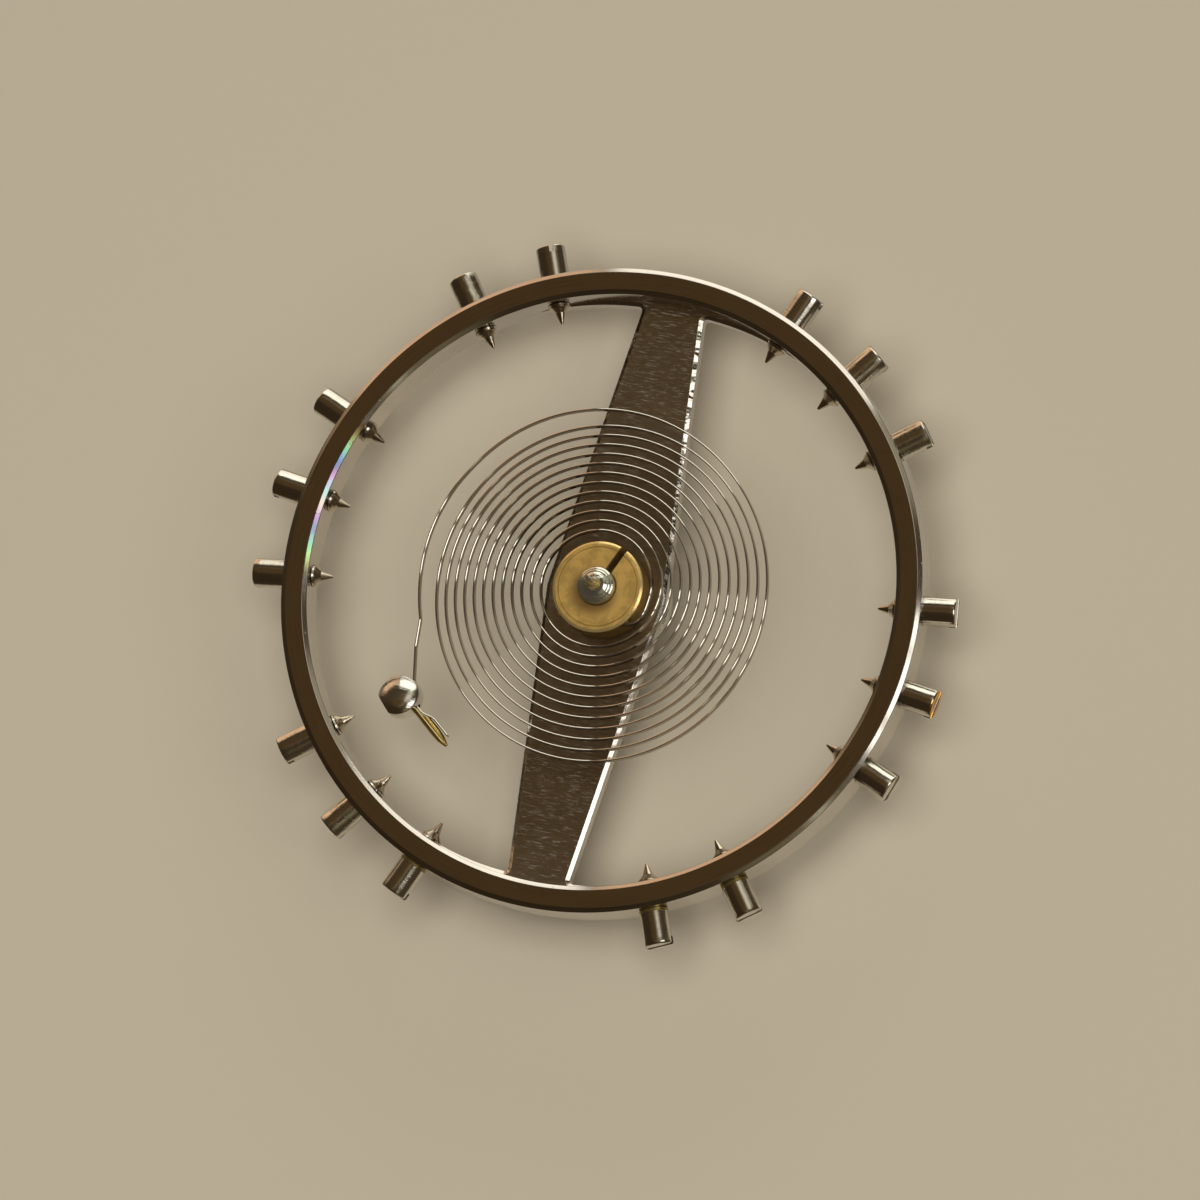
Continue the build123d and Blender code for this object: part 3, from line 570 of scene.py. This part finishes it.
def impulseRoller(finish):
    size = {"radius": 1.55, "bottom": 1.38, "top": 1.70, "bore": 0.31, "bevel": 0.04, "edge": 0.01,
            "jewelPlace": 1.17, "jewelRadius": 0.21, "jewelFlat": 1.26}
    roller = turned([(size["bore"], size["bottom"]), (size["radius"], size["bottom"]),
                     (size["radius"], size["top"]), (size["bore"], size["top"])], steps=160, closed=True)
    ease(roller, size["bevel"], segments=2, chosen=lambda edge: edge.verts[0].co.xy.length > 1)
    hole = jewelBlank(size["jewelPlace"], size["jewelRadius"], size["jewelFlat"], size["bottom"] - 0.5, size["top"] + 0.5)
    roller = combined(roller, "DIFFERENCE", hole)
    return finished("impulseRoller", roller, finish, ["impulse_roller"])


def jewelBlank(place, radius, flat, bottom, top):
    shape = turned([(0, bottom), (radius, bottom), (radius, top), (0, top)], steps=64)
    moved(shape, Matrix.Translation((place, 0, 0)))
    cut = bmesh.ops.bisect_plane(shape, geom=shape.verts[:] + shape.edges[:] + shape.faces[:], dist=1e-5,
                                 plane_co=(flat, 0, 0), plane_no=(1, 0, 0), clear_outer=True)
    bmesh.ops.contextual_create(shape, geom=[item for item in cut["geom_cut"] if isinstance(item, bmesh.types.BMEdge)])
    bmesh.ops.recalc_face_normals(shape, faces=shape.faces)
    return shape


def impulseJewel(finish):
    size = {"place": 1.17, "radius": 0.20, "flat": 1.25, "bottom": 0.95, "top": 1.70, "bevel": 0.03}
    jewel = jewelBlank(size["place"], size["radius"], size["flat"], size["bottom"], size["top"])
    ease(jewel, size["bevel"], segments=3, angle=60, chosen=lambda edge: edge.calc_length() < size["radius"] / 2 and all(
        abs(vert.co.z - size["bottom"]) < 1e-4 for vert in edge.verts))
    return finished("impulseJewel", jewel, finish, ["impulse_jewel"])


def safetyRoller(finish):
    size = {"radius": 0.85, "bottom": 0.75, "top": 1.03, "collarRadius": 0.50, "collarTop": 1.38, "bore": 0.31,
            "bevel": 0.04, "hollowPlace": 0.98, "hollowRadius": 0.25}
    roller = turned([(size["bore"], size["bottom"]), (size["radius"], size["bottom"]), (size["radius"], size["top"]),
                     (size["collarRadius"], size["top"]), (size["collarRadius"], size["collarTop"]),
                     (size["bore"], size["collarTop"])], steps=128, closed=True)
    ease(roller, size["bevel"], segments=2, chosen=lambda edge: edge.verts[0].co.xy.length > 0.8)
    hollow = turned([(0, 0.3), (size["hollowRadius"], 0.3), (size["hollowRadius"], 1.3), (0, 1.3)], steps=64)
    moved(hollow, Matrix.Translation((size["hollowPlace"], 0, 0)))
    roller = combined(roller, "DIFFERENCE", hollow)
    return finished("safetyRoller", roller, finish, ["safety_roller"])


# Collet with its slot, pin hole and pin
pinHole = {"radius": 0.13, "colletAngle": 275, "colletOffset": 0.83, "studAngle": -38.5, "studOffset": 0.135,
           "height": 3.15, "flat": 0.0075}


def colletHole():
    across, along = heading(pinHole["colletAngle"]), heading(pinHole["colletAngle"] + 90)
    return across * pinHole["colletOffset"] + Vector((0, 0, pinHole["height"])), along, across


def hairspringCollet(finish):
    size = {"bore": 0.485, "radius": 1.20, "bottom": 2.51, "top": 3.38, "bevel": 0.07, "bevelHeight": 0.042,
            "boreBevel": 0.04, "grooveOuter": 1.06, "grooveInner": 1.03, "grooveDepth": 0.03, "slot": 0.20, "slotAngle": 67,
            "edge": 0.008}
    floor = size["top"] - size["grooveDepth"]
    collet = turned([
        (size["bore"], size["bottom"]), (size["radius"], size["bottom"]),
        (size["radius"], size["top"] - size["bevelHeight"]), (size["radius"] - size["bevel"], size["top"]),
        (size["grooveOuter"], size["top"]), (size["grooveOuter"], floor), (size["grooveInner"], floor),
        (size["grooveInner"], size["top"]), (size["bore"] + size["boreBevel"], size["top"]),
        (size["bore"], size["top"] - size["boreBevel"]),
    ], steps=160, closed=True)
    ease(collet, size["edge"])
    half = size["slot"] / 2
    slot = slab([(0, -half), (1.7, -half), (1.7, half), (0, half)], size["bottom"] - 0.5, size["top"] + 0.5)
    moved(slot, Matrix.Rotation(math.radians(size["slotAngle"]), 4, "Z"))
    middle, along, across = colletHole()
    hole = turned([(0, -1.7), (pinHole["radius"], -1.7), (pinHole["radius"], 1.7), (0, 1.7)], steps=48)
    laid(hole, middle, along)
    collet = combined(collet, "DIFFERENCE", slot, hole)
    return finished("hairspringCollet", collet, finish, ["hairspring_collet"])


# A lying pin cut flat beside the strip, up to a place from which the flat slopes away
def flattened(pin, middle, along, across, end, slope):
    outline = [(-2.4, pinHole["flat"]), (end, pinHole["flat"]), (end + slope, 0.25), (-2.4, 0.25)]
    block = slab(outline, -0.5, 0.5)
    turn = Matrix((along, across, along.cross(across))).transposed()
    moved(block, Matrix.Translation(middle) @ turn.to_4x4())
    return combined(pin, "DIFFERENCE", block)


def colletPin(finish):
    size = {"radius": 0.12, "thinRadius": 0.10, "thinEnd": 0.03, "thickEnd": 0.08, "edge": 0.01}
    middle, along, across = colletHole()
    half = math.sqrt(1.20 ** 2 - pinHole["colletOffset"] ** 2)
    pin = turned([(0, -half - size["thinEnd"]), (size["thinRadius"], -half - size["thinEnd"]),
                  (size["radius"], half + size["thickEnd"]), (0, half + size["thickEnd"])], steps=48)
    ease(pin, size["edge"])
    laid(pin, middle, -along)
    pin = flattened(pin, middle, along, across, half + 0.5, 0.5)
    return finished("colletPin", pin, finish, ["collet_pin"])


# Stud and its pin
studPlace = Vector((-4.494, -3.783, 0))


def studHole():
    along, across = heading(pinHole["studAngle"]), heading(pinHole["studAngle"] + 90)
    return studPlace + across * pinHole["studOffset"] + Vector((0, 0, pinHole["height"])), along, across


def hairspringStud(finish):
    size = {"radius": 0.545, "top": 3.63, "foot": 2.90, "domeHeight": 0.19, "domePower": 2.8, "edgeRound": 0.03, "footBevel": 0.05,
            "flat": 0.45, "flatAngle": 225, "slit": 0.15, "slitHalf": 0.135, "domeSteps": 14,
            "lean": 0.27, "leanAngle": 108}
    profile = [(0, size["foot"]), (size["radius"], size["foot"])]
    for step in range(size["domeSteps"] + 1):
        share = 1 - step / size["domeSteps"]
        profile.append((size["radius"] * share, size["top"] - size["domeHeight"] * share ** size["domePower"]))
    stud = turned(profile, steps=128)
    ease(stud, size["edgeRound"], segments=4, chosen=lambda edge: edge.verts[0].co.z > 3)
    ease(stud, size["footBevel"], segments=2, chosen=lambda edge: edge.verts[0].co.z < 3)
    cut = bmesh.ops.bisect_plane(stud, geom=stud.verts[:] + stud.edges[:] + stud.faces[:], dist=1e-5,
                                 plane_co=heading(size["flatAngle"]) * size["flat"],
                                 plane_no=heading(size["flatAngle"]), clear_outer=True)
    bmesh.ops.contextual_create(stud, geom=[item for item in cut["geom_cut"] if isinstance(item, bmesh.types.BMEdge)])
    bmesh.ops.recalc_face_normals(stud, faces=stud.faces)
    ease(stud, 0.012, segments=3, angle=40, chosen=lambda edge: all(
        abs(vert.co.dot(heading(size["flatAngle"])) - size["flat"]) < 1e-4 for vert in edge.verts))
    lean = heading(size["leanAngle"]) * size["lean"]
    tops = [vert for vert in stud.verts if vert.co.z > size["top"] - size["domeHeight"] - 0.05]
    bmesh.ops.transform(stud, verts=tops, matrix=Matrix(((1, 0, 0, 0), (0, 1, 0, 0), (-lean.x, -lean.y, 1, 0), (0, 0, 0, 1))))
    moved(stud, Matrix.Translation(studPlace))
    middle, along, across = studHole()
    hole = turned([(0, -1), (pinHole["radius"], -1), (pinHole["radius"], 1), (0, 1)], steps=48)
    laid(hole, middle, along)
    bend, run = outerRun()[3][0], outerRun()[2][1]
    half, side = size["slit"] / 2, run.cross(Vector((0, 0, 1)))
    corners = [bend + side * half, bend - run * 1.2 + side * half, bend - run * 1.2 - side * half, bend - side * half]
    slit = slab([corner.xy for corner in corners], pinHole["height"] - size["slitHalf"],
                pinHole["height"] + size["slitHalf"])
    stud = combined(stud, "DIFFERENCE", hole, slit)
    return finished("hairspringStud", stud, finish, ["hairspring_stud"], "stud_side", sharp=20)


def studPin(finish):
    size = {"radius": 0.12, "thinRadius": 0.10, "thinEnd": 0.03, "belly": 0.13, "bellyPlace": 0.82,
            "shoulder": 0.11, "shoulderPlace": 1.05, "length": 1.29, "endRadius": 0.04, "flatLength": 0.26,
            "slopeLength": 0.34}
    middle, along, across = studHole()
    half = math.sqrt(0.545 ** 2 - pinHole["studOffset"] ** 2)
    pin = turned([
        (0, -half - size["thinEnd"]), (size["thinRadius"], -half - size["thinEnd"]), (size["radius"], half),
        (size["belly"], half + size["bellyPlace"]), (size["shoulder"], half + size["shoulderPlace"]),
        (size["endRadius"], half + size["length"]), (0, half + size["length"]),
    ], steps=48)
    ease(pin, 0.03, segments=4, angle=8, chosen=lambda edge: edge.verts[0].co.z > half + 0.5)
    laid(pin, middle, along)
    pin = flattened(pin, middle, along, across, half + size["flatLength"], size["slopeLength"])
    return finished("studPin", pin, finish, ["stud_pin"], "stud_side", sharp=25)


# Hairspring: the strip's middle line, then the strip itself
spring = {"thickness": 0.045, "height": 0.20, "middle": 3.15, "pitch": 0.2575, "turns": 12, "start": 1.396,
          "centreStart": (-0.025, 0.049), "centreEnd": (0.020, -0.078), "oval": 0.06, "lift": 0.27,
          "liftStart": 12.10, "liftEnd": 12.385, "arcEnd": 12.4167, "elbowAngle": 200.2, "elbowTurn": 16.2,
          "elbowRadius": 0.25, "kneeLength": 0.70, "kneeTurn": 7.0, "strand": 0.04, "innerElbow": 0.06,
          "tailRoot": 0.10, "tailSwing": 0.145, "tailSwingLength": 0.50, "tailEnd": 0.50, "perTurn": 120,
          "edge": 0.018, "edgeHeight": 0.011}


def coilPoint(turns):
    angle = 2 * math.pi * turns
    grown = (min(turns, spring["turns"]) / spring["turns"]) ** 2
    shift = [first + (last - first) * grown for first, last in zip(spring["centreStart"], spring["centreEnd"])]
    radius = spring["start"] + spring["pitch"] * turns - spring["oval"] * grown * math.cos(2 * angle)
    radius += shift[0] * math.cos(angle) + shift[1] * math.sin(angle)
    lift = min(max((turns - spring["liftStart"]) / (spring["liftEnd"] - spring["liftStart"]), 0), 1)
    return heading(360 * turns) * (radius + spring["lift"] * lift ** 2 * (3 - 2 * lift))


def outerRun():                                 # elbow, end of the elbow, knee and bend, each with its direction
    reach = spring["elbowAngle"]
    elbow = heading(reach) * coilPoint(spring["arcEnd"]).length
    before, after = heading(reach + 90), heading(reach + 90 - spring["elbowTurn"])
    run = heading(reach + 90 - spring["elbowTurn"] + spring["kneeTurn"])
    end = elbow + (before + after) * spring["elbowRadius"] * math.tan(math.radians(spring["elbowTurn"]) / 2)
    knee = end + after * spring["kneeLength"]
    middle, along, across = studHole()
    beside = middle + across * spring["strand"]
    beside.z = 0
    side = Vector((-along.y, along.x, 0))
    bend = knee + run * ((beside - knee).dot(side) / run.dot(side))
    return (elbow, before), (end, after), (knee, run), (bend, along)


def swept(start, direction, end, endDirection, count):   # near enough a circle's arc between two directions
    turn = direction.angle(endDirection, 0)
    handle = (end - start).length / (3 * math.cos(turn / 4) ** 2)
    return interpolate_bezier(start, start + direction * handle, end - endDirection * handle, end, count)


def springRoute():
    middle, along, across = colletHole()
    chord = pinHole["colletOffset"] + spring["strand"]
    half = math.sqrt(1.20 ** 2 - chord ** 2)
    out = across * chord + along * (half + spring["innerElbow"])
    coils = [coilPoint(step / spring["perTurn"]) for step in range(int(spring["arcEnd"] * spring["perTurn"]) + 1)]
    route = [across * chord + along * half * step / 6 for step in range(-6, 6)]
    route += swept(out, along, coils[0], (coils[1] - coils[0]).normalized(), 24)
    fastened = 12
    (elbow, before), (end, after), (knee, run), (bend, following) = outerRun()
    route += coils[1:-1]
    route += swept(coils[-1], (coils[-1] - coils[-2]).normalized(), elbow, before, 18)
    route += swept(elbow, before, end, after, 6)[1:]
    direction = after
    for corner, turnedTo in ((knee, run), (bend, following)):
        room = spring["elbowRadius"] * math.tan(direction.angle(turnedTo) / 2)
        route += swept(corner - direction * room, direction, corner + turnedTo * room, turnedTo, 8)
        direction = turnedTo
    freed = len(route) - 8
    middle, along, across = studHole()
    root = middle + across * spring["strand"] + along * (
        math.sqrt(0.545 ** 2 - pinHole["studOffset"] ** 2) + spring["tailRoot"])
    root.z = 0
    swung = root + along * spring["tailSwingLength"] + across * spring["tailSwing"]
    mid = (root + swung) / 2
    slant = (along * spring["tailSwingLength"] + across * spring["tailSwing"] * 2).normalized()
    route += swept(root, along, mid, slant, 8) + swept(mid, slant, swung, along, 8)[1:]
    route.append(swung + along * spring["tailEnd"])
    return route, fastened, freed


def hairspring(finish):
    route, fastened, freed = springRoute()
    lengths = [0.0]
    for first, second in zip(route, route[1:]):
        lengths.append(lengths[-1] + (second - first).length)
    shape = bmesh.new()
    share = shape.verts.layers.float.new("windShare")
    half = spring["thickness"] / 2
    verts = []
    for index, point in enumerate(route):
        run = route[min(index + 1, len(route) - 1)] - route[max(index - 1, 0)]
        outwards = Vector((run.y, -run.x, 0)).normalized() * half
        vert = shape.verts.new(point + outwards + Vector((0, 0, spring["middle"] - spring["height"] / 2)))
        wound = (lengths[freed] - lengths[index]) / (lengths[freed] - lengths[fastened])
        vert[share] = min(max(wound, 0), 1)
        verts.append(vert)
    chain = [shape.edges.new(pair) for pair in zip(verts, verts[1:])]
    raised = bmesh.ops.extrude_edge_only(shape, edges=chain)["geom"]
    tops = [item for item in raised if isinstance(item, bmesh.types.BMVert)]
    bmesh.ops.translate(shape, verts=tops, vec=(0, 0, spring["height"]))
    shape.normal_update()
    first = shape.faces[:][0]
    if first.normal.dot(Vector((-first.calc_center_median().x, -first.calc_center_median().y, 0))) > 0:
        bmesh.ops.reverse_faces(shape, faces=shape.faces)
    shape.normal_update()
    bmesh.ops.solidify(shape, geom=shape.faces[:], thickness=spring["thickness"])
    bmesh.ops.recalc_face_normals(shape, faces=shape.faces)
    ease(shape, spring["edge"], segments=1, angle=60, clamp=False, chosen=lambda edge: abs(
        edge.verts[0].co.z - edge.verts[1].co.z) < 1e-4)
    for side in (-1, 1):
        level = side * (spring["height"] / 2 - spring["edge"])
        shifted(shape, spring["middle"] + level, side * (spring["edge"] - spring["edgeHeight"]))
    piece = finished("hairspringStrip", shape, finish, ["hairspring"], None, sharp=20)
    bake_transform(piece, "stud_side", "balance", (0, 0, 0), (0, 0, 0.001))
    mesh = piece.data
    weights = mesh.attributes["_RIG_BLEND"]
    for index, value in enumerate(mesh.attributes["windShare"].data):
        weights.data[index].value = value.value
    mesh.attributes.remove(mesh.attributes["windShare"])
    return piece


nickel = screwNickel()
washer = washerBrass()
steel = turnedSteel()
pinFinish = pinBrass()
balanceWheel(wheelNickel())
for index, angle in enumerate(screwAngles, start=1):
    balanceScrew(index, angle, nickel)
for index, screw in enumerate(washerScrews, start=1):
    timingWasher(index, screwAngles[screw - 1], washer)
balanceStaff(steel)
impulseRoller(steel)
safetyRoller(steel)
impulseJewel(jewelRuby())
hairspringCollet(colletBrass())
colletPin(pinFinish)
hairspringStud(studSteel())
studPin(pinFinish)
hairspring(springSteel())
print("pieces ready")


# Floor, light and camera
def floor():
    look = {"colour": (0.447, 0.400, 0.312), "rough": 0.9, "radius": 500, "height": -0.02,
            "mirroredRadius": 10, "mirroredSide": 3, "fade": 3}
    f = Finish("floorBeige")
    # Metal mirrors the cloth near the wheel, and past it the windows, because the real cloth falls away there
    x, y, z = f.split(f.place())
    radius = (x * x + y * y) ** 0.5
    past = f.remap(radius, look["mirroredRadius"], look["mirroredRadius"] + look["fade"])
    past = past.sum("MAXIMUM", past, f.remap(y, look["mirroredSide"], look["mirroredSide"] + look["fade"]))
    below = f.node("NewGeometry", out="Backfacing")
    hidden = below.sum("MAXIMUM", below, f.node("LightPath", out="Is Glossy Ray") * past)
    cloth = f.node("BsdfPrincipled", inputs={"Base Color": look["colour"], "Roughness": look["rough"],
                                            "Specular IOR Level": 0.1})
    clear = f.node("BsdfTransparent")
    both = f.node("MixShader", inputs={0: hidden, 1: cloth, 2: clear})
    f.node("OutputMaterial", inputs={"Surface": both})
    shape = bmesh.new()
    bmesh.ops.create_circle(shape, cap_ends=True, segments=96, radius=look["radius"] * mm,
                            matrix=Matrix.Translation((0, 0, look["height"] * mm)))
    bmesh.ops.recalc_face_normals(shape, faces=shape.faces)
    if shape.faces[:][0].normal.z < 0:
        bmesh.ops.reverse_faces(shape, faces=shape.faces)
    mesh = bpy.data.meshes.new("floor")
    shape.to_mesh(mesh)
    shape.free()
    mesh.materials.append(f.owner)
    piece = bpy.data.objects.new("floor", mesh)
    bpy.context.scene.collection.objects.link(piece)


def studioWorld():
    # Soft patches of the room: azimuth, elevation, angular radius, softness and colour
    # A window's panes: azimuths and elevations of their edges, and colour
    look = {"room": (0.060, 0.043, 0.024), "background": (0.86, 0.83, 0.78), "patches": [
        (235, 24, 48, 24, (0.034, 0.022, 0.011)),
        (68, -90, 62, 10, (0.36, 0.31, 0.235)),
        (58, 34, 10, 6, (0.34, 0.31, 0.21)),
        (90, 76, 22, 10, (0.17, 0.125, 0.07)),
        (150, 72, 16, 8, (0.078, 0.046, 0.018)),
        (318, 42, 13, 6, (0.17, 0.14, 0.08)),
        (150, 4, 13, 6, (0.34, 0.22, 0.12)),
        (60, 54, 11, 8, (0.72, 0.67, 0.56)),
    ], "panes": [
        (117, 153, -38, 22, (0.90, 0.58, 0.35)),
        (66, 115, -26, 4, (1.35, 1.27, 1.10)),
        (66, 115, 4, 33, (1.65, 1.58, 1.38)),
        (-37, -32, 41, 51, (0.7, 0.65, 0.5)),
        (-14, -8.2, 30, 58, (2.8, 2.7, 2.5)),
        (-4.8, 10, 30, 58, (2.8, 2.7, 2.5)),
        (13, 20.5, 30, 58, (2.8, 2.7, 2.5)),
    ]}
    f = Finish("studioWorld", bpy.data.worlds)
    direction = f.node("TexCoord", out="Generated")
    colour = look["room"]
    for azimuth, elevation, spread, soft, paint in look["patches"]:
        flat = heading(azimuth) * math.cos(math.radians(elevation))
        toward = (flat.x, flat.y, math.sin(math.radians(elevation)))
        dot = f.node("VectorMath", {"operation": "DOT_PRODUCT"}, {0: direction, 1: toward}, out="Value")
        inside, outside = math.cos(math.radians(spread - soft)), math.cos(math.radians(spread + soft))
        colour = f.mix(f.remap(dot, outside, inside), colour, paint)
    flat, azimuth, height = f.polar(direction)
    for left, right, low, high, paint in look["panes"]:
        low, high = math.sin(math.radians(low)), math.sin(math.radians(high))
        colour = f.mix(f.band(azimuth, left, right, 0.8) * f.band(height, low, high, 0.02), colour, paint)
    seen = f.node("LightPath", out="Is Camera Ray")
    light = f.node("Background", inputs={"Color": colour})
    pale = f.node("Background", inputs={"Color": look["background"]})
    both = f.node("MixShader", inputs={0: seen, 1: light, 2: pale})
    f.node("OutputWorld", inputs={"Surface": both})
    bpy.context.scene.world = f.owner


def softbox(name, azimuth, elevation, distance, size, power, colour):
    lamp = bpy.data.lights.new(name, "AREA")
    lamp.shape, lamp.size, lamp.energy, lamp.color = "DISK", size * mm, power, colour
    lampObject = bpy.data.objects.new(name, lamp)
    flat = heading(azimuth) * math.cos(math.radians(elevation))
    back = Vector((flat.x, flat.y, math.sin(math.radians(elevation))))
    lampObject.location = back * distance * mm
    lampObject.rotation_euler = back.to_track_quat("Z", "Y").to_euler()
    lampObject.visible_camera = lampObject.visible_glossy = False
    bpy.context.scene.collection.objects.link(lampObject)


def cameraView():
    look = {"azimuth": -30.095073, "elevation": 71.896503, "roll": -47.664460, "distance": 300.10754557,
            "aim": (0.08054226, -0.29030429, 3.10962966), "lens": 349.2598}
    azimuth, elevation, roll = [math.radians(look[name]) for name in ("azimuth", "elevation", "roll")]
    turn = (Matrix.Rotation(azimuth + math.pi / 2, 4, "Z") @ Matrix.Rotation(math.pi / 2 - elevation, 4, "X")
            @ Matrix.Rotation(roll, 4, "Z"))
    back = turn.to_3x3() @ Vector((0, 0, 1))
    lens = bpy.data.cameras.new("camera")
    lens.lens, lens.sensor_width, lens.clip_start, lens.clip_end = look["lens"], 36, 0.01, 10
    camera = bpy.data.objects.new("camera", lens)
    camera.matrix_world = Matrix.Translation((Vector(look["aim"]) + back * look["distance"]) * mm) @ turn
    bpy.context.scene.collection.objects.link(camera)
    bpy.context.scene.camera = camera


floor()
studioWorld()
softbox("keyLamp", -40, 82, 400, 300, 1.44, (1.0, 0.97, 0.93))
cameraView()
bpy.context.scene.view_settings.view_transform = "Standard"
print("studio ready")
